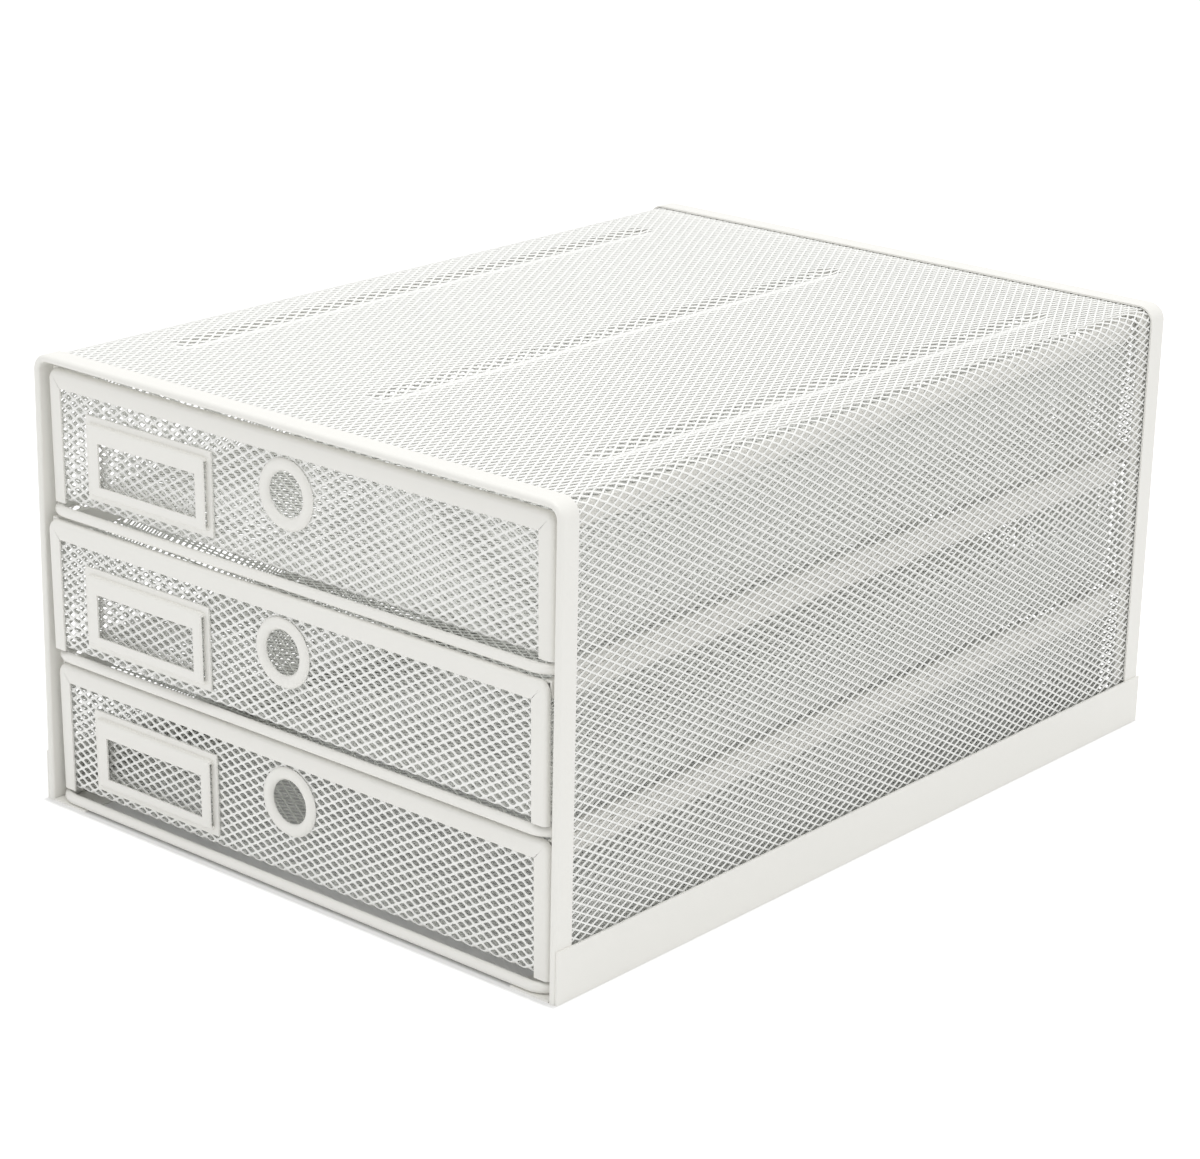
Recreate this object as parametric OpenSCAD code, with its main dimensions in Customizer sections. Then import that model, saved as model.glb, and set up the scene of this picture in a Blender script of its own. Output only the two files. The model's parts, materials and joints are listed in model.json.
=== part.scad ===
// Desktop unit of three mesh drawers in a bent mesh case.
// Millimetres. X runs to the right seen from the front, Y to the back and Z up.
// The origin is under the middle of the unit, on the surface that it stands on.

/* [Case] */
// Width over the two trims
case_w = 240; // [200:1:320]
// Depth from the nose of the front trim to the nose of the rear trim
case_d = 335; // [335:1:420]
// Outside radius of the bends of case and trims
corner_r = 6; // [5:0.5:9]
// Depth of the front trim's legs
front_leg = 8; // [6:0.5:10]
// Depth of the rear trim's outer leg
rear_leg = 9; // [6:0.5:10]
// Depth of the rear trim's inner leg
rear_inner_leg = 14; // [8:0.5:18]
// Height of the plain skirt on each side
skirt_h = 18.2; // [12:0.1:30]
// Width of the foot that the skirt turns in under the case
skirt_foot = 19.7; // [12:0.1:40]
// Width of a groove pressed into the top
groove_w = 11.5; // [8:0.5:16]
// Depth of a groove pressed into the top
groove_depth = 1.6; // [1:0.1:2]
// Distance between the middle groove and the outer ones
groove_pitch = 94; // [40:1:96]

/* [Drawers] */
// Height of a drawer's front
drawer_h = 47.6; // [45:0.1:80]
// Depth of a drawer
drawer_d = 318; // [280:1:318]
// Free space between a drawer and the trim on each side
side_gap = 2.5; // [1:0.1:5]
// How far the middle drawer stands ajar
ajar = 2.3; // [0:0.1:40]
// Angle at which a drawer's front leans back towards its foot
front_lean = 1.2; // [0:0.1:4]
// Height of the drawer front's top band
top_band = 6.5; // [5:0.5:10]
// Width of the drawer front's side bands
side_band = 6; // [4:0.5:10]
// Height of the channel along the other three top edges
rim_h = 6.8; // [4:0.1:12]

/* [Label holder and ring] */
// Width of the label holder
label_w = 61.5; // [50:0.5:80]
// Height of the label holder
label_h = 29.8; // [28:0.1:34]
// Distance from the drawer's middle to the label holder's left edge
label_x = 96; // [90:1:98]
// How far the label holder stands out
label_rise = 2; // [1.5:0.1:3]
// Diameter of the finger ring
ring_d = 24.5; // [22:0.5:30]
// Diameter of the hole in the finger ring
ring_hole = 15.7; // [12:0.1:18]

/* [Metal] */
// Thickness of the plain sheet
sheet = 0.7; // [0.5:0.05:0.8]
// Thickness of the expanded mesh
mesh_t = 1.2; // [0.9:0.1:1.5]
// Long way of a diamond of the mesh
mesh_long = 29; // [20:1:40]
// Short way of a diamond of the mesh
mesh_short = 16.5; // [12:0.5:24]
// Width of the strands between the diamonds
strand = 3.5; // [2:0.1:4]
// Diameter of the wire that the drawers run on
wire_d = 3.6; // [3:0.1:4]

/* [Hidden] */
trim_w = 2 * sheet + mesh_t;
wire_gap = 0.9;
drawer_gap = 1.2;
first_z = sheet + wire_d + wire_gap;
pitch = drawer_h + drawer_gap + wire_d + wire_gap;
case_h = first_z + 3 * drawer_h + 2 * (pitch - drawer_h) + drawer_gap + 0.8 + trim_w;
mesh_in = 2;
mesh_r = corner_r - sheet;
panel_y = case_d - 3;
wire_x = case_w / 2 - trim_w - wire_d / 2;
wire_front = 0.5 + wire_d / 2;
wire_rear = panel_y - mesh_t - 0.2 - wire_d / 2;
wire_r = 8;
skirt_front = 0.6;
groove_end = 39;

drawer_w = case_w - 2 * trim_w - 2 * side_gap;
face_in = 2;
inner_w = drawer_w - 2 * trim_w;
wall_x = drawer_w / 2 - sheet;
floor_z = 0.4;
bend_r = 1.6;
wall_top = drawer_h - sheet;
frame_deep = 2 * sheet + mesh_t;
band_r = 4;
foot_r = 1.5;
ring_z = 27.6;
label_z = 4.8;
lip = 2.3;
slot_lip = 1.9;
press_r = 1.2;
front_base = drawer_h - (drawer_h - floor_z - bend_r + (sheet + bend_r) * sin(front_lean)) / cos(front_lean);
floor_start = (sheet + bend_r) * cos(front_lean) + (drawer_h - front_base) * sin(front_lean);
label_out = press_r + (label_rise - press_r) * cos(front_lean)
    - (drawer_h - label_z - label_h + lip + press_r) * sin(front_lean);
overhang = max(0, ajar) + label_out - face_in;
metal = [0.93, 0.93, 0.91];

// Expanded mesh, drawn flat with the diamonds' long way along X

function hole_scale(a, b) = 1 - strand * sqrt(a * a + b * b) / (2 * a * b);

module diamond(w, h) {
    polygon([[-w / 2, 0], [0, -h / 2], [w / 2, 0], [0, h / 2]]);
}

module diamonds(w, h, edge = 2) {
    nu = floor((w - 2 * edge) / mesh_long);
    nv = floor((h - 2 * edge) / mesh_short);
    pu = (w - 2 * edge) / nu;
    pv = (h - 2 * edge) / nv;
    k = hole_scale(pu / 2, pv / 2);
    for (j = [1 : 2 * nv - 1], i = [0 : nu - 1])
        if (j % 2 == 1 || i > 0)
            translate([edge + (i + (j % 2) / 2) * pu, edge + j * pv / 2])
                diamond(k * pu, k * pv);
}

module mesh(w, h) {
    difference() {
        square([w, h]);
        diamonds(w, h);
    }
}

// Directions: a flat shape's X and Y and its extrusion are turned to face one way

module facing_front() rotate([90, 0, 0]) children();
module facing_side() rotate([90, 0, 90]) children();

// Trims: one channel, closed at its rounded nose, bent into an inverted U

module trim_section(outer, inner) {
    r = trim_w / 2;
    difference() {
        translate([r, -r]) circle(r = r, $fn = 48);
        translate([r, -r]) circle(r = r - sheet, $fn = 48);
        translate([-1, -trim_w - 1]) square([trim_w + 2, trim_w + 1 - r]);
    }
    translate([0, -inner]) square([sheet, inner - r]);
    translate([trim_w - sheet, -outer]) square([sheet, outer - r]);
}

module arch() {
    straight = case_h - corner_r;
    for (s = [0, 1]) mirror([s, 0, 0]) {
        translate([case_w / 2 - trim_w, straight, 0])
            rotate([90, 0, 0]) linear_extrude(straight) children();
        translate([case_w / 2 - corner_r, straight, 0])
            rotate_extrude(angle = 90, $fn = 96) translate([corner_r - trim_w, 0]) children();
    }
    translate([corner_r - case_w / 2, case_h - trim_w, 0])
        rotate([90, 0, 90]) linear_extrude(case_w - 2 * corner_r) children();
}

module front_trim() {
    color(metal) facing_front() arch() trim_section(front_leg, front_leg - 0.5);
}

module rear_trim() {
    color(metal) translate([0, case_d, 0]) mirror([0, 1, 0])
        facing_front() arch() trim_section(rear_leg, rear_inner_leg);
}

// Case shell: a mesh sheet over both sides and the top, held between the trims' legs

module shell_side(s) {
    color(metal) mirror([s, 0, 0])
        translate([case_w / 2 - sheet - mesh_t, mesh_in, sheet])
            facing_side() linear_extrude(mesh_t)
                mesh(case_d - 2 * mesh_in, case_h - corner_r - sheet);
}

module shell_bend(s) {
    len = case_d - 2 * mesh_in;
    count = floor(len / mesh_long);
    step = len / count;
    color(metal) mirror([s, 0, 0]) difference() {
        translate([case_w / 2 - corner_r, case_d - mesh_in, case_h - corner_r])
            facing_front() rotate_extrude(angle = 90, $fn = 96)
                translate([mesh_r - mesh_t, 0]) square([mesh_t, len]);
        for (i = [0 : count - 1])
            translate([case_w / 2 - corner_r, mesh_in + (i + 0.5) * step, case_h - corner_r])
                rotate([0, -45, 0]) translate([mesh_r - mesh_t - 1, 0, 0])
                    facing_side() linear_extrude(mesh_t + 2) diamond(0.7 * step, 0.8 * mesh_r);
    }
}

module groove_section(half = false) {
    r = (groove_w * groove_w / 4 + groove_depth * groove_depth) / (2 * groove_depth);
    translate([0, r - groove_depth]) intersection() {
        difference() {
            circle(r = r + mesh_t, $fn = 96);
            circle(r = r, $fn = 96);
        }
        translate([half ? 0 : -groove_w / 2, -r - 2 * mesh_t])
            square([half ? groove_w / 2 : groove_w, r + 2 * mesh_t]);
    }
}

module groove(len) {
    translate([0, len, 0]) facing_front() linear_extrude(len) groove_section();
    for (s = [0, 1]) translate([0, s * len, 0]) rotate([0, 0, 180 + 180 * s])
        rotate_extrude(angle = 180, $fn = 96) groove_section(half = true);
}

module groove_outline(len) {
    translate([-groove_w / 2, 0]) square([groove_w, len]);
    for (s = [0, 1]) translate([0, s * len]) circle(d = groove_w, $fn = 96);
}

module shell_top() {
    width = case_w - 2 * corner_r;
    start = groove_end + groove_w / 2;
    len = case_d - 2 * start;
    count = floor(len / mesh_long);
    color(metal) {
        translate([0, 0, case_h - sheet - mesh_t]) linear_extrude(mesh_t) difference() {
            translate([width / 2, mesh_in]) rotate(90) mesh(case_d - 2 * mesh_in, width);
            for (i = [-1 : 1]) translate([i * groove_pitch, start]) groove_outline(len);
        }
        for (i = [-1 : 1]) translate([i * groove_pitch, start, case_h - sheet]) difference() {
            groove(len);
            for (j = [0 : count - 1])
                translate([0, (j + 0.5) * len / count, -groove_depth - 2 * mesh_t])
                    linear_extrude(groove_depth + 3 * mesh_t)
                        rotate(90) diamond(0.75 * len / count, 0.5 * groove_w);
        }
    }
}

// Rear panel: flat mesh that fills the rear trim

module rear_panel() {
    w = case_w - 2 * trim_w;
    h = case_h - trim_w - sheet;
    r = corner_r - trim_w;
    color(metal) translate([0, panel_y, sheet]) facing_front() linear_extrude(mesh_t)
        difference() {
            round_top(w, h, r, 0);
            translate([-w / 2, 0]) diamonds(w, h);
        }
}

module round_top(w, h, top_r, low_r) {
    translate([-w / 2, low_r]) square([w, h - top_r - low_r]);
    translate([top_r - w / 2, h / 2]) square([w - 2 * top_r, h / 2]);
    translate([low_r - w / 2, 0]) square([w - 2 * low_r, h / 2]);
    for (s = [-1, 1]) translate([s * (w / 2 - top_r), h - top_r]) circle(r = top_r, $fn = 48);
    if (low_r > 0)
        for (s = [-1, 1]) translate([s * (w / 2 - low_r), low_r]) circle(r = low_r, $fn = 48);
}

// Skirts: plain strips outside the trims, turned in underneath as feet

module skirt(s) {
    long = case_d - skirt_front;
    slot_x = case_w / 2 - trim_w - 0.3;
    color(metal) mirror([s, 0, 0]) difference() {
        union() {
            translate([case_w / 2, skirt_front, 0]) cube([sheet, long, skirt_h]);
            translate([case_w / 2 + sheet - skirt_foot, skirt_front, 0])
                cube([skirt_foot, long, sheet]);
        }
        translate([slot_x, -1, -1]) cube([trim_w + 0.3, front_leg + 1.3, sheet + 2]);
        translate([slot_x, case_d - rear_inner_leg - 0.3, -1])
            cube([trim_w + 0.3, rear_inner_leg + 1.3, sheet + 2]);
    }
}

// Wire frames: closed loops of round wire, welded to the trims' inner legs

module rod(len) cylinder(d = wire_d, h = len, $fn = 48);

module wire_frame(k) {
    x = wire_x - wire_r;
    y1 = wire_front + wire_r;
    y2 = wire_rear - wire_r;
    color(metal) translate([0, 0, sheet + wire_d / 2 + k * pitch]) {
        for (s = [-1, 1]) translate([s * wire_x, y1, 0]) rotate([-90, 0, 0]) rod(y2 - y1);
        for (y = [wire_front, wire_rear]) translate([-x, y, 0]) rotate([0, 90, 0]) rod(2 * x);
        for (c = [[x, y2, 0], [-x, y2, 90], [-x, y1, 180], [x, y1, 270]])
            translate([c[0], c[1], 0]) rotate(c[2])
                rotate_extrude(angle = 90, $fn = 96)
                    translate([wire_r, 0]) circle(d = wire_d, $fn = 48);
    }
}

// Drawer tray: mesh front, floor, back and sides, bent round at the lower edges.
// Everything on the drawer's front leans back about its upper edge.

module leaning() {
    translate([0, 0, drawer_h]) rotate([front_lean, 0, 0]) translate([0, 0, -drawer_h]) children();
}

module lower_bend(base, angle) {
    translate([-inner_w / 2 - sheet, sheet + bend_r, base])
        rotate([90, 180, 90]) rotate_extrude(angle = angle, $fn = 96)
            translate([bend_r - mesh_t, 0]) square([mesh_t, inner_w + 2 * sheet]);
}

module drawer_front() {
    color(metal) leaning() {
        translate([0, sheet + mesh_t, front_base]) facing_front() linear_extrude(mesh_t)
            difference() {
                union() {
                    difference() {
                        round_top(2 * wall_x, wall_top - front_base, band_r - sheet, 0);
                        translate([-wall_x, 0]) diamonds(2 * wall_x, wall_top - front_base);
                    }
                    translate([0, ring_z - front_base]) circle(d = ring_d, $fn = 96);
                }
                translate([0, ring_z - front_base]) circle(d = ring_hole + 1.8, $fn = 96);
            }
        lower_bend(front_base, 90 - front_lean);
    }
}

module drawer_back() {
    w = inner_w + 2 * sheet;
    base = floor_z + bend_r;
    color(metal) translate([0, drawer_d, 0]) mirror([0, 1, 0]) {
        translate([-w / 2, sheet + mesh_t, base]) facing_front() linear_extrude(mesh_t)
            mesh(w, wall_top - base);
        lower_bend(base, 90);
    }
}

module drawer_floor() {
    w = inner_w + 2 * sheet;
    color(metal) translate([-w / 2, floor_start, floor_z]) linear_extrude(mesh_t)
        mesh(w, drawer_d - sheet - bend_r - floor_start);
}

module drawer_side(s) {
    front = frame_deep / cos(front_lean);
    color(metal) mirror([s, 0, 0]) translate([wall_x - mesh_t, 0, 0])
        facing_side() linear_extrude(mesh_t) difference() {
            translate([front, floor_z]) mesh(drawer_d - sheet - front, wall_top - floor_z);
            polygon([[0, 0], [front + drawer_h * tan(front_lean), 0], [front, drawer_h], [0, drawer_h]]);
        }
}

// Drawer edging: a frame on the front and a channel over the other top edges

module front_frame() {
    color(metal) leaning() {
        translate([0, sheet, 0]) facing_front() linear_extrude(sheet) difference() {
            round_top(drawer_w, drawer_h, band_r, foot_r);
            translate([side_band - drawer_w / 2, -1])
                square([drawer_w - 2 * side_band, drawer_h - top_band + 1]);
        }
        translate([0, frame_deep, 0]) facing_front() linear_extrude(frame_deep - sheet)
            difference() {
                round_top(drawer_w, drawer_h, band_r, foot_r);
                translate([0, sheet]) round_top(2 * wall_x, wall_top - sheet, band_r - sheet, 0);
                translate([-drawer_w / 2 - 1, -1]) square([drawer_w + 2, foot_r + 1]);
            }
        translate([band_r - drawer_w / 2, frame_deep - sheet, drawer_h - top_band + 1.5])
            cube([drawer_w - 2 * band_r, sheet, top_band - 1.5]);
    }
}

module rim_section() {
    translate([0, -rim_h]) square([sheet, rim_h]);
    translate([0, -sheet]) square([trim_w, sheet]);
    translate([trim_w - sheet, -rim_h]) square([sheet, rim_h]);
}

module rim_side(s) {
    start = frame_deep + 0.3;
    end_r = 3;
    color(metal) mirror([s, 0, 0]) difference() {
        translate([drawer_w / 2 - trim_w, drawer_d, drawer_h])
            facing_front() linear_extrude(drawer_d - start) rim_section();
        translate([drawer_w / 2 - trim_w - 1, start, drawer_h - rim_h])
            facing_side() linear_extrude(trim_w + 2) difference() {
                translate([-1, -1]) square([end_r + 1, end_r + 1]);
                translate([end_r, end_r]) circle(r = end_r, $fn = 48);
            }
        translate([drawer_w / 2 - trim_w - 1, drawer_d - sheet - mesh_t, drawer_h - rim_h - 1])
            cube([sheet + 1, trim_w, rim_h + 1 - sheet]);
    }
}

module rim_back() {
    color(metal) translate([-inner_w / 2, drawer_d, drawer_h]) rotate([90, 0, 90])
        linear_extrude(inner_w) mirror([1, 0]) rim_section();
}

// Label holder: a pressed frame with a raised face and a window, open at its right for the card

module raised_section(w, rise, r) {
    translate([0, -sheet]) square([w, rise + sheet - r]);
    translate([r, 0]) square([w - 2 * r, rise]);
    for (x = [r, w - r]) translate([x, rise - r]) circle(r = r, $fn = 48);
}

module raised(w, h, rise, r) {
    intersection() {
        translate([0, 0, h]) rotate([180, 0, 0]) linear_extrude(h) raised_section(w, rise, r);
        rotate([180, -90, 0]) linear_extrude(w) raised_section(h, rise, r);
    }
}

module label_holder() {
    w = label_w - lip - slot_lip;
    h = label_h - 2 * lip;
    rise = label_rise - sheet;
    window = [47.9, 15.6];
    window_x = 7.7;
    color(metal) leaning() translate([-label_x, 0, label_z]) difference() {
        union() {
            cube([label_w, sheet, label_h]);
            translate([lip, 0, lip]) raised(w, h, label_rise, press_r);
        }
        translate([lip + sheet, 0, lip + sheet])
            raised(w - 2 * sheet, h - 2 * sheet, rise, press_r - sheet);
        translate([window_x, -label_rise - 1, 6]) cube([window[0], label_rise + 2, window[1]]);
        translate([lip + w - 2 * sheet, -rise, 3.4]) cube([3 * sheet, rise, 23]);
    }
}

// Finger ring: a domed ring on the mesh's solid seat, its inner edge turned in

module finger_ring() {
    chord = (ring_d - ring_hole) / 2;
    rise = 1.5;
    wall = 0.6;
    r = (chord * chord / 4 + rise * rise) / (2 * rise);
    inner = ring_hole / 2;
    color(metal) leaning() translate([0, sheet, ring_z]) rotate([90, 0, 0]) rotate_extrude($fn = 96) {
        translate([inner + chord / 2, rise - r]) difference() {
            circle(r = r, $fn = 96);
            circle(r = r - wall, $fn = 96);
            translate([-2 * r, -3 * r]) square([4 * r, 4 * r - rise]);
        }
        translate([inner, -0.3]) square([wall, 0.3]);
    }
}

// Places: the case stands on the floor, and each drawer has its own level in it

module in_case() translate([0, (overhang - case_d) / 2, 0]) children();

module in_drawer(k) {
    in_case() translate([0, face_in - (k == 1 ? ajar : 0), first_z + k * pitch]) children();
}

in_case() shell_side(1);  // shell_left
in_case() shell_side(0);  // shell_right
in_case() shell_top();
in_case() shell_bend(1);  // bend_left
in_case() shell_bend(0);  // bend_right
in_case() rear_panel();
in_case() front_trim();
in_case() rear_trim();
in_case() skirt(1);  // skirt_left
in_case() skirt(0);  // skirt_right
in_case() wire_frame(0);  // wire_frame_bottom
in_case() wire_frame(1);  // wire_frame_middle
in_case() wire_frame(2);  // wire_frame_top

in_drawer(0) drawer_front();  // bottom_front
in_drawer(0) drawer_floor();  // bottom_floor
in_drawer(0) drawer_back();  // bottom_back
in_drawer(0) drawer_side(1);  // bottom_side_left
in_drawer(0) drawer_side(0);  // bottom_side_right
in_drawer(0) front_frame();  // bottom_front_frame
in_drawer(0) rim_side(1);  // bottom_rim_left
in_drawer(0) rim_side(0);  // bottom_rim_right
in_drawer(0) rim_back();  // bottom_rim_back
in_drawer(0) label_holder();  // bottom_label_holder
in_drawer(0) finger_ring();  // bottom_finger_ring

in_drawer(1) drawer_front();  // middle_front
in_drawer(1) drawer_floor();  // middle_floor
in_drawer(1) drawer_back();  // middle_back
in_drawer(1) drawer_side(1);  // middle_side_left
in_drawer(1) drawer_side(0);  // middle_side_right
in_drawer(1) front_frame();  // middle_front_frame
in_drawer(1) rim_side(1);  // middle_rim_left
in_drawer(1) rim_side(0);  // middle_rim_right
in_drawer(1) rim_back();  // middle_rim_back
in_drawer(1) label_holder();  // middle_label_holder
in_drawer(1) finger_ring();  // middle_finger_ring

in_drawer(2) drawer_front();  // top_front
in_drawer(2) drawer_floor();  // top_floor
in_drawer(2) drawer_back();  // top_back
in_drawer(2) drawer_side(1);  // top_side_left
in_drawer(2) drawer_side(0);  // top_side_right
in_drawer(2) front_frame();  // top_front_frame
in_drawer(2) rim_side(1);  // top_rim_left
in_drawer(2) rim_side(0);  // top_rim_right
in_drawer(2) rim_back();  // top_rim_back
in_drawer(2) label_holder();  // top_label_holder
in_drawer(2) finger_ring();  // top_finger_ring
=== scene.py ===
# %% [markdown]
# # A desktop unit of three mesh drawers
# The unit is bent and folded from steel sheet and painted with white powder. Nearly all of its
# surface is expanded mesh: a sheet that was slit and pulled until the slits opened into diamonds.
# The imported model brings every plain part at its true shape: trims, skirts, wires, rims, label
# holders and rings. Its mesh panels have coarse diamonds, so this lesson makes the fine mesh,
# presses the drawers' front frames with soft edges and then gives each part its paint.

import json
import math

import bpy
import numpy as np
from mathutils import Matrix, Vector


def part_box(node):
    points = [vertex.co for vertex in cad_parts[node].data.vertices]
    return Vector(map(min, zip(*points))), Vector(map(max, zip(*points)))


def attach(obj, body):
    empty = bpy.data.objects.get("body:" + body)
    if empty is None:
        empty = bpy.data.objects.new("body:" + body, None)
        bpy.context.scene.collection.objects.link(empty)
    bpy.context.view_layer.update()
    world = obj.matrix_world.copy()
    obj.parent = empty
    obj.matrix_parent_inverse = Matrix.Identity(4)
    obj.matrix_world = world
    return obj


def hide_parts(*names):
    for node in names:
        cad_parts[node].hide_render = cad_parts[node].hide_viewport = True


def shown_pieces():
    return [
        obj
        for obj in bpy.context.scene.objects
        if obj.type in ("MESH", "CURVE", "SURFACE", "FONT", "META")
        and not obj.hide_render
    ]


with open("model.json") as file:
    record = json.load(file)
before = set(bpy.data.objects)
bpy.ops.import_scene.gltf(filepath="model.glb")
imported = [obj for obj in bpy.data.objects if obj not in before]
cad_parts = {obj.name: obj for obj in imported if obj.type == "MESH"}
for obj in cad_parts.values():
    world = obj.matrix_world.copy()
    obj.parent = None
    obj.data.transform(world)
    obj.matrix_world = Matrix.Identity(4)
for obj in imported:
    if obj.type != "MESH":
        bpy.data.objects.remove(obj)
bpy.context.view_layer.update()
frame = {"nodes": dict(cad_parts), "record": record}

# %% [markdown]
# ## Sizes
# The frame's boxes tell where things are. A mesh panel's thickness is its shortest side, so the
# sheet's thickness, and the bends' radii that follow from it, are read there and not typed again.

# %% Sizes from the frame
side_low, side_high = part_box("shell_right")
top_low, top_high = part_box("shell_top")
bend_low, bend_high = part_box("bend_right")
mesh_t = side_high.x - side_low.x
case_bend = bend_high.x - bend_low.x
print(f"mesh {mesh_t * 1000:.2f} mm thick, bent at an outer radius of {case_bend * 1000:.2f} mm")

# %% [markdown]
# ## Working by hand in a script
# An operator acts on whatever is selected, so each step starts with nothing selected. These
# helpers add a modifier and apply it, and pick points or faces in code, which takes the place of
# clicking on them.


# %% Helpers for selecting and finishing
def deselect():
    if bpy.context.object and bpy.context.object.mode != "OBJECT":
        bpy.ops.object.mode_set(mode="OBJECT")
    bpy.ops.object.select_all(action="DESELECT")


def activate(piece):
    deselect()
    piece.select_set(True)
    bpy.context.view_layer.objects.active = piece


def apply_place(piece):
    activate(piece)
    bpy.ops.object.transform_apply(location=True, rotation=True, scale=True)


def apply_modifier(piece, kind, **settings):
    activate(piece)
    modifier = piece.modifiers.new(kind.title(), kind)
    for name, value in settings.items():
        setattr(modifier, name, value)
    bpy.ops.object.modifier_apply(modifier=modifier.name)


def pick(piece, kind, chosen):
    """Goes into edit mode with the chosen points (VERT) or faces (FACE) selected."""
    activate(piece)
    bpy.ops.object.mode_set(mode="EDIT")
    bpy.ops.mesh.select_mode(type=kind)
    bpy.ops.mesh.select_all(action="DESELECT")
    bpy.ops.object.mode_set(mode="OBJECT")
    parts = piece.data.vertices if kind == "VERT" else piece.data.polygons
    parts.foreach_set("select", chosen)
    bpy.ops.object.mode_set(mode="EDIT")


def delete_faces(piece, inside):
    """Deletes the faces whose centre lies where inside(x, y, z) is true."""
    centres = np.array([face.center for face in piece.data.polygons])
    chosen = inside(*centres.T)
    pick(piece, "FACE", chosen)
    bpy.ops.mesh.delete(type="FACE")
    bpy.ops.object.mode_set(mode="OBJECT")
    print(f"{piece.name}: {chosen.sum()} faces taken away")


# %% [markdown]
# A bent or pressed sheet is easiest to make flat first. Its points are then moved to their place
# on the bent shape, which is what a roller or a press does. A grid is the flat start, and each of
# its points knows its column and row.


# %% Helpers for grids of points
def points(piece):
    flat = np.empty(len(piece.data.vertices) * 3)
    piece.data.vertices.foreach_get("co", flat)
    return flat.reshape(-1, 3)


def place_points(piece, places):
    piece.data.vertices.foreach_set("co", np.asarray(places, float).ravel())
    piece.data.update()


def lay(sheet, where):
    """Moves each point of the flat sheet to where(x, y, z), as rolling and pressing would."""
    place_points(sheet, np.column_stack(where(*points(sheet).T)))


def add_grid(name, columns, rows):
    """A square grid, with the column and the row of each of its points."""
    deselect()
    bpy.ops.mesh.primitive_grid_add(x_subdivisions=columns, y_subdivisions=rows, size=1)
    grid = bpy.context.object
    grid.name = name
    share = points(grid)[:, :2] + 0.5
    return grid, np.rint(share[:, 0] * columns).astype(int), np.rint(share[:, 1] * rows).astype(int)


# %% [markdown]
# ## Expanded mesh
# A diamond is about 5.7 mm long and 3.3 mm high from crossing to crossing, with narrow strands
# between the diamonds. The sheets hold tens of thousands of them, so a diamond may cost only a
# few faces. Cutting each hole would be slow. Instead a plain grid gets a point wherever the lattice
# has a crossing or the middle of a hole, as the black and white squares of a chessboard. A bevel
# of points, by a percentage, turns each hole's middle into a diamond, and when those faces are
# deleted the strands are left over. With two segments the bevel's profile bulges, which gives the
# rounder holes of the drawers' fronts. Solidify then gives the strands the thickness of the metal.
#
# When the metal is pulled, its strands don't stay flat: each one turns on its long way and stands
# aslant, like the slats of a blind. So a panel looks nearly closed from one side and open from the
# other. Here the upper edge of each hole is lowered and its lower edge lifted, by tilt x RAISE.

# %% Measures of the mesh
DIAMOND_LONG = 0.0057
DIAMOND_SHORT = 0.0033
STRAND = 0.0006  # width of a strand
METAL = 0.00048  # thickness of the sheet that was slit
RAISE = 0.00026  # how far an edge of a hole moves out of the sheet at a tilt of 1
TURN_ROWS = 4  # rows of holes over which the tilt changes to that of the next sheet
ROUND_HOLES = {"offset_pct": 67, "segments": 2, "profile": 0.163}
print(f"diamonds {DIAMOND_LONG * 1000} x {DIAMOND_SHORT * 1000} mm, strands {STRAND * 1000} mm wide")


# %% One flat sheet of mesh
def diamond_holes(half_long, half_short, strand):
    """How far each hole reaches towards the next crossing, so that the strands get their width."""
    share = 1 - strand * math.hypot(half_long, half_short) / (2 * half_long * half_short)
    return {"offset_pct": 100 * share, "segments": 1}


def stand_strands(sheet, half_long, half_short, tilt, end_tilt):
    """Lowers each hole's upper edge and lifts its lower edge, so that the strands stand aslant."""
    places = points(sheet)
    across = (places[:, 0] - places[:, 0].min()) / half_long
    up = (places[:, 1] - places[:, 1].min()) / half_short
    rising, falling = (across + up) / 2, (across - up) / 2
    off = up - (np.rint(rising) - np.rint(falling))
    crossing = (abs(rising - np.rint(rising)) > 0.49) & (abs(falling - np.rint(falling)) > 0.49)
    rows_left = (up.max() - up) / 2
    slant = np.interp(rows_left, (0, TURN_ROWS), (end_tilt, tilt))
    places[:, 2] = np.where(crossing, 0, -slant * RAISE * off)
    place_points(sheet, places)


def mesh_sheet(name, length, height, columns=None, rows=None, rounded=False, strand=STRAND, tilt=0, end_tilt=None):
    """A sheet flat on X and Y around the origin, with the diamonds' long way along X."""
    columns = columns or round(length / DIAMOND_LONG)
    rows = rows or round(height / DIAMOND_SHORT)
    half_long, half_short = length / columns / 2, height / rows / 2
    sheet, column, row = add_grid(name, 2 * columns, 2 * rows)
    sheet.scale = (length, height, 1)
    apply_place(sheet)
    pick(sheet, "VERT", (column + row) % 2 == 0)
    holes = ROUND_HOLES if rounded else diamond_holes(half_long, half_short, strand)
    bpy.ops.mesh.bevel(offset_type="PERCENT", affect="VERTICES", **holes)
    bpy.ops.mesh.select_mode(type="FACE")
    bpy.ops.mesh.delete(type="FACE")
    bpy.ops.object.mode_set(mode="OBJECT")
    stand_strands(sheet, half_long, half_short, tilt, tilt if end_tilt is None else end_tilt)
    return sheet


def thicken(sheet):
    apply_modifier(sheet, "SOLIDIFY", thickness=METAL, offset=0)
    activate(sheet)
    bpy.ops.object.shade_smooth()
    triangles = sum(len(face.vertices) - 2 for face in sheet.data.polygons)
    print(f"{sheet.name}: {triangles} triangles")


def fit_to_case(sheet, *nodes):
    """The sheet moves with the case and takes the place of the coarse panels."""
    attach(sheet, "case")
    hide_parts(*nodes)


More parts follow.
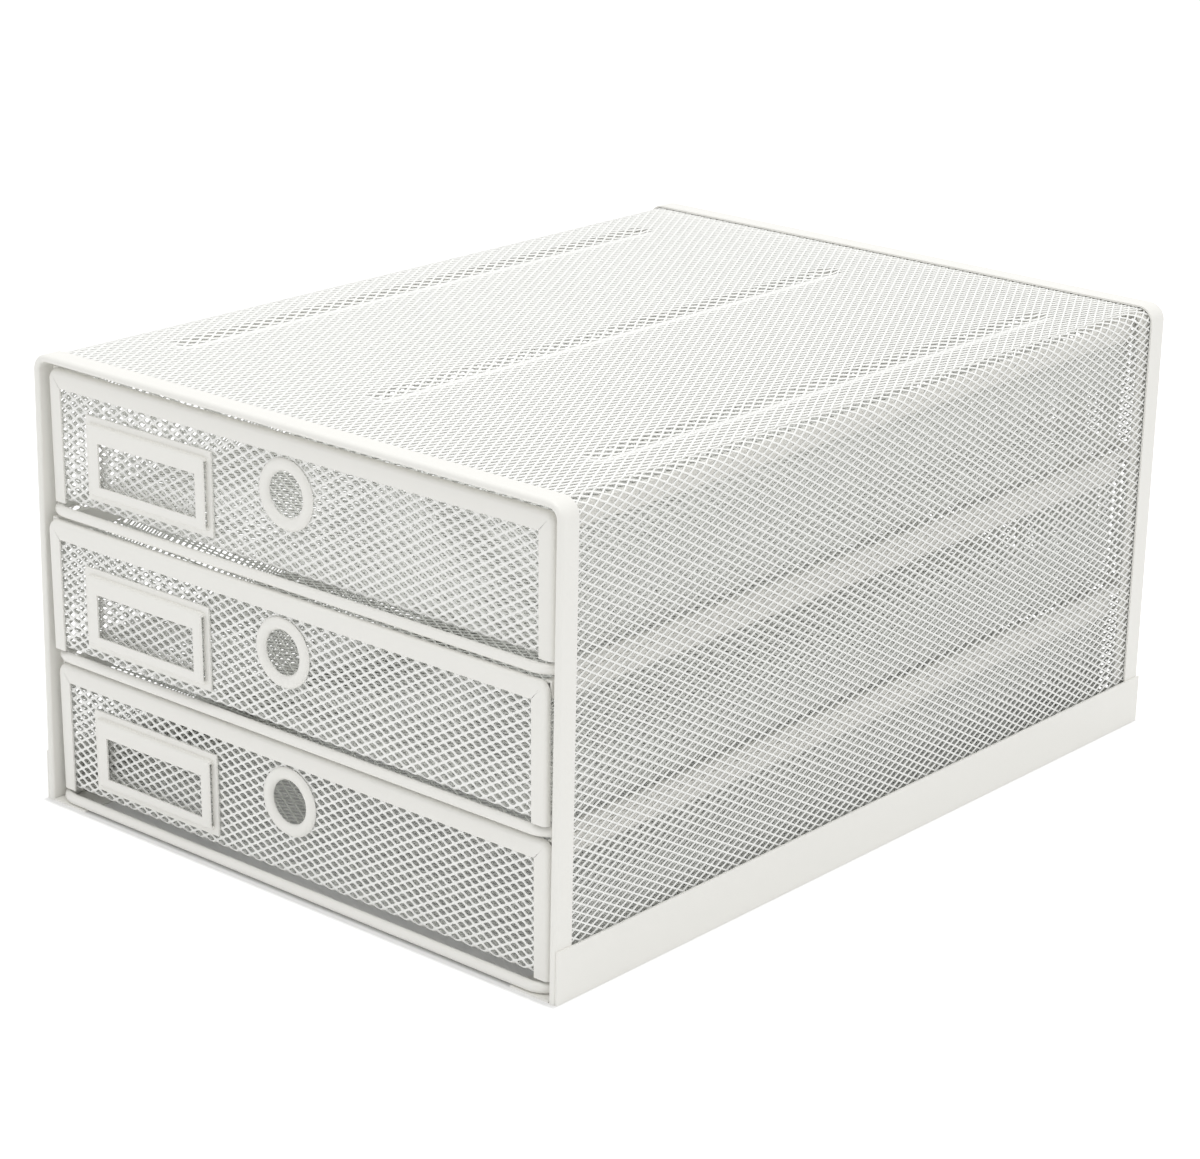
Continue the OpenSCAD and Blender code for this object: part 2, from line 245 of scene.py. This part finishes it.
# %% [markdown]
# ## The case's shell
# The shell is one sheet bent over both sides and the top. The diamonds' long way runs from front
# to back, so a point's distance across the flat sheet is its distance along the bent outline: up
# the side, round the bend and over the top. A bend modifier would stretch the diamonds, so the
# points are placed on that outline directly. Whole, the sheet would pass 200,000 triangles, so it
# is made in three lengths that meet where the bends end at the top. On the bend the sides' strands
# turn to the slant of the strands on the top.

# %% Shell sides, each with its bend
SIDE_COLUMNS, SIDE_ROWS = 59, 53  # whole diamonds from front to back, and up the side
SIDE_STRAND = 0.00054
SIDE_TILT = -0.6
OUTWARD = 0.0001  # the fine sheet lies this much nearer to the outside than the coarse one

shell_lie = mesh_t / 2 - OUTWARD
shell_mid = case_bend - shell_lie
shell_depth = side_high.y - side_low.y
shell_middle = (side_high.y + side_low.y) / 2
side_height = bend_low.z - side_low.z
side_length = side_height + shell_mid * math.pi / 2


def on_side(hand):
    def where(x, y, z):
        along = y + side_length / 2
        turn = np.clip((along - side_height) / shell_mid, 0, math.pi / 2)
        radius = shell_mid + z
        across = bend_low.x + radius * np.cos(turn)
        up = np.where(along < side_height, side_low.z + along, bend_low.z + radius * np.sin(turn))
        return hand * across, shell_middle + hand * x, up

    return where


for hand, side in ((-1, "left"), (1, "right")):
    sheet = mesh_sheet(
        f"mesh_{side}",
        shell_depth,
        side_length,
        columns=SIDE_COLUMNS,
        rows=SIDE_ROWS,
        strand=SIDE_STRAND,
        tilt=SIDE_TILT,
        end_tilt=hand,
    )
    thicken(sheet)
    lay(sheet, on_side(hand))
    fit_to_case(sheet, f"shell_{side}", f"bend_{side}")

# %% [markdown]
# The top has three pressed grooves, one along the middle and one near each edge. Across, a groove
# falls and rises as a smooth wave, and it ends round, so its depth follows from a point's distance
# to the groove's middle line. Moving the sheet's points down by that depth keeps the diamonds
# whole, as pressing does, where a cut groove would break them.

# %% Shell top with its grooves
TOP_COLUMNS, TOP_ROWS = 57, 70  # whole diamonds from front to back, and across
TOP_TILT = 1.15
GROOVE_X = (-0.094, 0.0, 0.094)
GROOVE_HALF = 0.0065  # half of a groove's width
GROOVE_END = 0.0388  # from the end of the sheet to the end of a groove
GROOVE_PART = 0.75  # the fine sheet is pressed a little less than the coarse one

groove_depth = GROOVE_PART * (top_high.z - top_low.z - mesh_t)
groove_reach = shell_depth / 2 - GROOVE_END - GROOVE_HALF


def pressed(x, y):
    """How deep the top is pressed in at a place."""
    depth = np.zeros_like(x)
    beyond = np.maximum(np.abs(y) - groove_reach, 0)
    for middle in GROOVE_X:
        off = np.minimum(np.hypot(x - middle, beyond) / GROOVE_HALF, 1)
        depth += groove_depth * (0.5 + 0.5 * np.cos(math.pi * off))
    return depth


def on_top(x, y, z):
    return -y, x + shell_middle, top_high.z - shell_lie - pressed(-y, x) + z


sheet = mesh_sheet("mesh_top", shell_depth, 2 * bend_low.x, columns=TOP_COLUMNS, rows=TOP_ROWS, tilt=TOP_TILT)
thicken(sheet)
lay(sheet, on_top)
fit_to_case(sheet, "shell_top")
print(f"three grooves, {groove_depth * 1000:.2f} mm deep")

# %% [markdown]
# ## Rear panel
# The panel closes the case behind the drawers. It is a flat sheet of its own, inside the rear
# trim, with wider strands than the shell's that stand more steeply, so less is seen through it. A
# hole lies on each of its corners, which keeps the strands clear of the trim's bends.

# %% Rear panel
REAR_STRAND = 0.00135
REAR_TILT = -2

panel_low, panel_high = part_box("rear_panel")
panel_width = panel_high.x - panel_low.x
panel_height = panel_high.z - panel_low.z


def on_rear(x, y, z):
    return x, (panel_low.y + panel_high.y) / 2 - z, y + (panel_low.z + panel_high.z) / 2


sheet = mesh_sheet("mesh_rear", panel_width, panel_height, strand=REAR_STRAND, tilt=REAR_TILT)
thicken(sheet)
lay(sheet, on_rear)
fit_to_case(sheet, "rear_panel")

# %% [markdown]
# ## Drawer trays
# A tray's front, floor and back are bent from one strip, and its sides are two more sheets. The
# diamonds' long way lies level all round. The front leans back a little towards its foot, so its
# places are worked out as a depth behind its face and a distance below its upper edge. The tray is
# modelled for the bottom drawer, and the other two get copies later.

# %% Sizes of a tray
LEAN = math.radians(1.2)
PLAIN = 0.0007  # thickness of the plain sheet
FRAME_DEEP = 0.0026  # depth of the front frame
TRAY_BEND = 0.0016  # outer radius of the lower bends
EDGE_TURN = math.radians(71)  # how far round the bend the lowest row of crossings lies
FRONT_ROWS = 14
RING_SEAT = 0.0088  # radius of the hole under the finger ring

frame_low, frame_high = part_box("bottom_front_frame")
front_low, front_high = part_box("bottom_front")
back_low, back_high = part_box("bottom_back")
floor_low, floor_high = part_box("bottom_floor")
ring_low, ring_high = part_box("bottom_finger_ring")

tray_front = frame_low.y
tray_top = frame_high.z - FRAME_DEEP * math.sin(LEAN)
tray_mid = TRAY_BEND - mesh_t / 2
bend_height = floor_low.z + TRAY_BEND


def leaning(out, down):
    """From a depth behind the front's face and a distance below its upper edge to Y and Z."""
    return (
        tray_front + out * math.cos(LEAN) + down * math.sin(LEAN),
        tray_top + out * math.sin(LEAN) - down * math.cos(LEAN),
    )


print(f"tray: front at {tray_front * 1000:.1f} mm, upper edge at {tray_top * 1000:.1f} mm")

# %% [markdown]
# The front's flat strip runs down from the upper edge, round the lower bend and a few millimetres
# into the floor. Its length is chosen so that a row of crossings lies on the lowest part of the
# bend, and the lower edge shows as a row of small scallops. Under the finger ring the mesh has a
# round hole, whose ragged edge the ring covers. The back is the same strip, standing straight.

# %% Front and back, each with its lower bend
front_fall = (tray_top - bend_height + (PLAIN + TRAY_BEND) * math.sin(LEAN)) / math.cos(LEAN)
front_turn = math.pi / 2 - LEAN
wall_straight = front_fall - PLAIN
wall_length = (wall_straight + tray_mid * EDGE_TURN) * 2 * FRONT_ROWS / (2 * FRONT_ROWS - 1)
floor_run = wall_length - wall_straight - tray_mid * front_turn
ring_level = (tray_top - (ring_low.z + ring_high.z) / 2) / math.cos(LEAN) - PLAIN


def on_front(x, y, z):
    fall = wall_length / 2 - y
    turn = np.clip((fall - wall_straight) / tray_mid, 0, front_turn)
    run = np.maximum(fall - wall_straight - tray_mid * front_turn, 0)
    radius = tray_mid + z
    out = PLAIN + TRAY_BEND - radius * np.cos(turn) + run * math.cos(LEAN)
    bent = front_fall + radius * np.sin(turn) + run * math.sin(LEAN)
    down = np.where(fall < wall_straight, PLAIN + fall, bent)
    return x, *leaning(out, down)


def on_back(x, y, z):
    fall = wall_length / 2 - y
    straight = back_high.z - bend_height
    turn = np.clip((fall - straight) / tray_mid, 0, math.pi / 2)
    radius = tray_mid + z
    up = np.where(fall < straight, back_high.z - fall, bend_height - radius * np.sin(turn))
    return -x, back_high.y - TRAY_BEND + radius * np.cos(turn), up


def under_ring(x, y, z):
    return np.hypot(x, y - (wall_length / 2 - ring_level)) < RING_SEAT


tray = {}
sheet = mesh_sheet("bottom_mesh_front", front_high.x - front_low.x, wall_length, rows=FRONT_ROWS, rounded=True)
delete_faces(sheet, under_ring)
thicken(sheet)
lay(sheet, on_front)
tray["front"] = sheet

sheet = mesh_sheet("bottom_mesh_back", back_high.x - back_low.x, wall_length, rows=FRONT_ROWS)
thicken(sheet)
lay(sheet, on_back)
tray["back"] = sheet

# %% [markdown]
# The floor is one flat sheet between the two bends. The sides stand on it and reach up into the
# rim channels. Both are plain rectangles, so they only need to be laid in place. The sides start
# further back than their coarse panels do at the foot, where the leaning front would meet them.

# %% Floor and sides
floor_front = floor_low.y + floor_run
floor_depth = back_high.y - TRAY_BEND - floor_front


def on_floor(x, y, z):
    return x, y + floor_front + floor_depth / 2, z + (floor_low.z + floor_high.z) / 2


sheet = mesh_sheet("bottom_mesh_floor", floor_high.x - floor_low.x, floor_depth)
thicken(sheet)
lay(sheet, on_floor)
tray["floor"] = sheet

wall_low, wall_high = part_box("bottom_side_right")
wall_low.y += (wall_high.z - wall_low.z) * math.tan(LEAN)


def on_wall(hand):
    middle = (wall_low + wall_high) / 2
    return lambda x, y, z: (hand * (middle.x + z), middle.y + hand * x, middle.z + y)


for hand, side in ((-1, "left"), (1, "right")):
    sheet = mesh_sheet(f"bottom_mesh_side_{side}", wall_high.y - wall_low.y, wall_high.z - wall_low.z)
    thicken(sheet)
    lay(sheet, on_wall(hand))
    tray[f"side_{side}"] = sheet

# %% [markdown]
# ## Front frames
# A drawer's front frame is pressed from plain sheet. Its face turns back over the top and the
# sides with a soft edge, and the two upper corners show a fine mitre line where the metal was
# folded together. An extruded outline with a bevel would leave no mitre. So the frame is a grid
# whose rows are rings round the drawer: the lip behind, the depth of the frame, four steps round
# the soft edge and the inner edge of the face. At the middle of each corner three points stand
# close together, and the middle one lies a little deeper, which draws the mitre line.

# %% The frame as rings round the front
SIDE_BAND = 0.006  # width of the face at the sides
TOP_BAND = 0.0065  # and at the top
CORNER = 0.004  # outer radius of the upper corners
CORNER_STEPS = 12
SOFT = 0.0018  # radius of the soft edge
SOFT_STEPS = 4
LIP_ROUND = 0.0003
LIP_SIDE, LIP_TOP = 0.001, 0.005  # how far the lip behind reaches inwards
SEAM = 0.00016  # width of the mitre line
SEAM_DEEP = 0.00003

frame_half = frame_high.x
frame_foot = (tray_top - frame_low.z) / math.cos(LEAN)
corner_middle = CORNER_STEPS // 2


def ring(side, top):
    """Places round the front, from the left foot over the top to the right foot."""
    radius = max(CORNER - min(side, top), 0)
    row = []
    for step in range(CORNER_STEPS + 1):
        turn = math.pi / 2 * step / CORNER_STEPS
        row.append((frame_half - side - radius * (1 - math.cos(turn)), top + radius * (1 - math.sin(turn))))
    slide = SEAM / math.sqrt(8)
    x, down = row[corner_middle]
    row[corner_middle : corner_middle + 1] = [(x + slide, down + slide), (x, down), (x - slide, down - slide)]
    right = [(frame_half - side, frame_foot)] + row
    return [(-x, down) for x, down in right] + right[::-1]


rings = [(LIP_SIDE, LIP_TOP, FRAME_DEEP), (LIP_ROUND, LIP_ROUND, FRAME_DEEP), (0, 0, FRAME_DEEP - LIP_ROUND)]
face_starts = len(rings) + SOFT_STEPS // 2
for step in range(SOFT_STEPS + 1):
    turn = math.pi / 2 * step / SOFT_STEPS
    inset = SOFT * (1 - math.cos(turn))
    rings.append((inset, inset, SOFT * (1 - math.sin(turn))))
rings.append((SIDE_BAND, TOP_BAND, 0))

frame_places = []
for number, (side, top, out) in enumerate(rings):
    around = ring(side, top)
    mitres = (corner_middle + 2, len(around) - 3 - corner_middle)
    deep = SEAM_DEEP if number >= face_starts else 0
    frame_places.append(
        [(x, *leaning(out + (deep if step in mitres else 0), down)) for step, (x, down) in enumerate(around)]
    )
frame_places = np.array(frame_places)
print(f"front frame: {len(rings)} rings of {len(around)} points")

# %% [markdown]
# The grid's points go to those places. Points that meet are merged, and the normals are made to
# agree. The face is far larger than the lip behind, so the sum of its normals tells which way the
# surface looks. The metal's thickness goes inwards, away from that side.

# %% The frame's surface and its thickness
edge, column, row = add_grid("bottom_edge_frame", frame_places.shape[1] - 1, frame_places.shape[0] - 1)
place_points(edge, frame_places[row, column])
activate(edge)
bpy.ops.object.mode_set(mode="EDIT")
bpy.ops.mesh.select_all(action="SELECT")
bpy.ops.mesh.remove_doubles(threshold=1e-6)
bpy.ops.mesh.normals_make_consistent(inside=False)
bpy.ops.object.mode_set(mode="OBJECT")
forward = -sum(face.normal.y * face.area for face in edge.data.polygons if abs(face.normal.y) > 0.9)
apply_modifier(edge, "SOLIDIFY", thickness=PLAIN, offset=-1 if forward > 0 else 1, use_even_offset=True)
activate(edge)
bpy.ops.object.shade_smooth_by_angle(angle=math.radians(35))
tray["front_frame"] = edge
print("front frame:", len(edge.data.polygons), "faces, looking to", "the front" if forward > 0 else "the rear")

# %% [markdown]
# ## The three drawers
# The drawers are alike, so each piece of the tray is copied, with its own mesh, and moved by the
# difference between the drawers' floors. Each set rides on its own drawer, and slides with it.

# %% Copies for the other drawers
for level in ("bottom", "middle", "top"):
    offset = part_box(f"{level}_floor")[0] - floor_low
    for name, piece in tray.items():
        if level != "bottom":
            piece = piece.copy()
            piece.data = piece.data.copy()
            piece.name = tray[name].name.replace("bottom", level)
            bpy.context.collection.objects.link(piece)
            piece.location = offset
            apply_place(piece)
        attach(piece, f"drawer_{level}")
        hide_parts(f"{level}_{name}")
    print(f"{level} drawer: tray moved by {tuple(round(v * 1000, 1) for v in offset)} mm")

# %% [markdown]
# ## Shader maths
# A material is easier to read as a formula. The first class wraps a socket, so that sums and
# products of sockets add Math nodes. The second wraps a tree of nodes, and its one method adds any
# node: first the settings, then the values or links of its sockets, by name or by number.


# %% Sockets as numbers, and trees of nodes
class Socket:
    def __init__(self, graph, socket):
        self.graph = graph
        self.socket = socket

    def math(self, operation, other=0.0, flipped=False):
        first, second = (other, self) if flipped else (self, other)
        return self.graph.node("Math", {0: first, 1: second}, operation=operation)

    def __add__(self, other):
        return self.math("ADD", other)

    def __sub__(self, other):
        return self.math("SUBTRACT", other)

    def __rsub__(self, other):
        return self.math("SUBTRACT", other, flipped=True)

    def __mul__(self, other):
        return self.math("MULTIPLY", other)

    __radd__ = __add__
    __rmul__ = __mul__


def connect(tree, node, inputs):
    for name, value in inputs.items():
        if isinstance(value, Socket):
            tree.links.new(value.socket, node.inputs[name])
        else:
            node.inputs[name].default_value = value


class Graph:
    def __init__(self, tree, end):
        self.tree = tree
        self.end = tree.nodes[end]

    def node(self, kind, inputs=None, out=0, **settings):
        node = self.tree.nodes.new(f"ShaderNode{kind}")
        for name, value in settings.items():
            setattr(node, name, value)
        connect(self.tree, node, inputs or {})
        return Socket(self, node.outputs[out])

    def mix(self, share, first, second):
        return self.node("Mix", {0: share, 6: first, 7: second}, out=2, data_type="RGBA")

    def finish(self, inputs):
        connect(self.tree, self.end, inputs)


def new_paint(name):
    """A material, its graph that ends in the shader, and the place on the piece."""
    material = bpy.data.materials.new(name)
    material.use_nodes = True
    graph = Graph(material.node_tree, "Principled BSDF")
    return material, graph, graph.node("TexCoord", out="Object")


# %% [markdown]
# ## White powder coat
# Powder is sprayed on dry and melted, so it flows into a skin with a faint orange-peel waviness
# about a millimetre across. It is nearly white, a touch warm, and satin. Slow noise varies its
# tone and gloss by a few per cent, and a fine noise gives the waviness as bump. Geometry for the
# waviness would cost millions of faces for a relief of a few hundredths of a millimetre. On the
# strands the coat is painted whiter than on the plain sheet, as painted light that brightens the
# strands, and it is a little duller.

# %% The finish of every part
CLOUD_SCALE = 28.0  # slow changes of tone, some centimetres across
SKIN_SCALE = 900.0  # waves of about a millimetre
SKIN_HEIGHT = 0.00012
GLOSS_CHANGE = 0.1


def powder_coat(name, colour, darker, roughness, waves):
    material, graph, place = new_paint(name)
    cloud = graph.node("TexNoise", {"Vector": place, "Scale": CLOUD_SCALE, "Detail": 2.0})
    skin = graph.node("TexNoise", {"Vector": place, "Scale": SKIN_SCALE, "Detail": 3.0})
    bump = graph.node("Bump", {"Height": skin, "Strength": waves, "Distance": SKIN_HEIGHT})
    tone = graph.mix(cloud, (*darker, 1.0), (*colour, 1.0))
    gloss = roughness - GLOSS_CHANGE / 2 + GLOSS_CHANGE * cloud
    graph.finish({"Base Color": tone, "Roughness": gloss, "Normal": bump})
    print(f"{name}: colour {colour}, roughness about {roughness}")
    return material


white_sheet = powder_coat("white_sheet", (0.882, 0.873, 0.832), (0.867, 0.858, 0.817), 0.38, 0.25)
# The outer mesh's coat is painted whiter than the sheet's: painted light on the strands.
white_mesh = powder_coat("white_mesh", (0.96, 0.961, 0.935), (0.945, 0.946, 0.92), 0.45, 0.15)
# The inner mesh's coat is painted greyer than the outer mesh's: painted shade inside the drawers.
inner_mesh = powder_coat("inner_mesh", (0.9, 0.908, 0.872), (0.885, 0.893, 0.857), 0.5, 0.15)
white_wire = powder_coat("white_wire", (0.89, 0.881, 0.84), (0.875, 0.866, 0.825), 0.36, 0.2)

# %% [markdown]
# The imported parts get the coat of their record's slot. The new pieces get theirs by name: the
# trays' floors, backs and sides lie inside, and their coat is painted greyer, as painted shade.

# %% Paint on each part
COATS = {"sheet": white_sheet, "mesh": white_mesh, "wire": white_wire}
INSIDE = ("floor", "back", "side")

for subpart in frame["record"]["subparts"]:
    for material_slot in frame["nodes"][subpart["node"]].material_slots:
        material_slot.material = COATS[subpart["material_slot"]]

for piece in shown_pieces():
    if "edge_frame" in piece.name:
        coat = white_sheet
    elif "mesh" in piece.name:
        # Pieces inside the trays get the greyer coat, a painted shade.
        coat = inner_mesh if any(word in piece.name for word in INSIDE) else white_mesh
    else:
        continue
    piece.data.materials.clear()
    piece.data.materials.append(coat)
    print(f"{piece.name}: {coat.name}")

# %% [markdown]
# ## Stage
# The unit stands on a white floor. The floor glows a little, as a lit table does, so that it
# stays white and the shadow at the feet stays soft. The camera and reflections see more of that
# glow than falls on the unit, because a floor that gave so much light would light it from below.
# The glow ends at the unit's outline, so that the space beneath the drawers stays dark.

# %% Floor
FLOOR_SIZE = 12
PAPER = 0.9
GLOW, SEEN_GLOW = 0.1, 0.36
UNDER_X, UNDER_Y = 0.1207, 0.1675  # half of the unit's width and depth
GLOW_RISE = 600.0  # per metre, so the glow is full 1.7 mm outside the outline


def grey(value):
    return (value, value, value, 1)


def seen_ray(graph):
    """1 for what the camera or a reflection sees, and 0 for what gives light."""
    return graph.node("LightPath", out="Is Camera Ray").math("MAXIMUM", graph.node("LightPath", out="Is Glossy Ray"))


deselect()
bpy.ops.mesh.primitive_plane_add(size=FLOOR_SIZE, location=(0, 0, 0))
floor = bpy.context.object
floor.name = "floor"
paper, graph, place = new_paint("paper")
off_x = graph.node("SeparateXYZ", {"Vector": place}, out="X").math("ABSOLUTE") - UNDER_X
off_y = graph.node("SeparateXYZ", {"Vector": place}, out="Y").math("ABSOLUTE") - UNDER_Y
open_floor = (off_x.math("MAXIMUM", off_y) * GLOW_RISE).math("MAXIMUM").math("MINIMUM", 1.0)
glow = graph.mix(open_floor, grey(0.0), graph.mix(seen_ray(graph), grey(GLOW), grey(SEEN_GLOW)))
graph.finish({"Base Color": grey(PAPER), "Roughness": 0.9, "Emission Color": glow, "Emission Strength": 1.0})
floor.data.materials.append(paper)
print(f"floor {FLOOR_SIZE} m wide, with its glow outside {UNDER_X * 2:.3f} x {UNDER_Y * 2:.3f} m")

# %% [markdown]
# An even light comes from a white world all round, as inside a tent of thin cloth, and one large
# soft lamp above makes the top a little brighter than the sides. The camera and reflections see
# the world as pure white, and the light that it gives is weaker.

# %% World and lamp
TENT = 0.71
LAMP_PLACE = (0.2, -0.1, 2.0)
LAMP_SIZE = 2.0
LAMP_POWER = 18.5

world = bpy.data.worlds.new("tent")
bpy.context.scene.world = world
world.use_nodes = True
tent = Graph(world.node_tree, "Background")
tent.finish({"Color": (1, 1, 1, 1), "Strength": seen_ray(tent) * (1 - TENT) + TENT})

deselect()
bpy.ops.object.light_add(type="AREA", location=LAMP_PLACE)
lamp = bpy.context.object
lamp.name = "lamp_above"
lamp.data.shape = "DISK"
lamp.data.size = LAMP_SIZE
lamp.data.energy = LAMP_POWER
print(f"world light {TENT}, lamp {LAMP_POWER} W over {LAMP_SIZE} m")

# %% [markdown]
# ## Camera
# The camera looks at the front right corner from a little above, through a long lens. From so far
# away the unit's edges run nearly parallel, as they look to someone across a table.

# %% Camera
LENS = 99.46
CAMERA_PLACE = (0.73216, -0.86636, 0.46377)
CAMERA_TURN = (70.841, -1.145, 40.859)

camera_data = bpy.data.cameras.new("camera")
camera_data.lens = LENS
camera_data.sensor_width = 36
camera = bpy.data.objects.new("camera", camera_data)
camera.location = CAMERA_PLACE
camera.rotation_euler = [math.radians(angle) for angle in CAMERA_TURN]
bpy.context.collection.objects.link(camera)
bpy.context.scene.camera = camera
bpy.context.scene.view_settings.view_transform = "Standard"
print(f"camera {camera.location.length:.2f} m away, {LENS} mm lens")
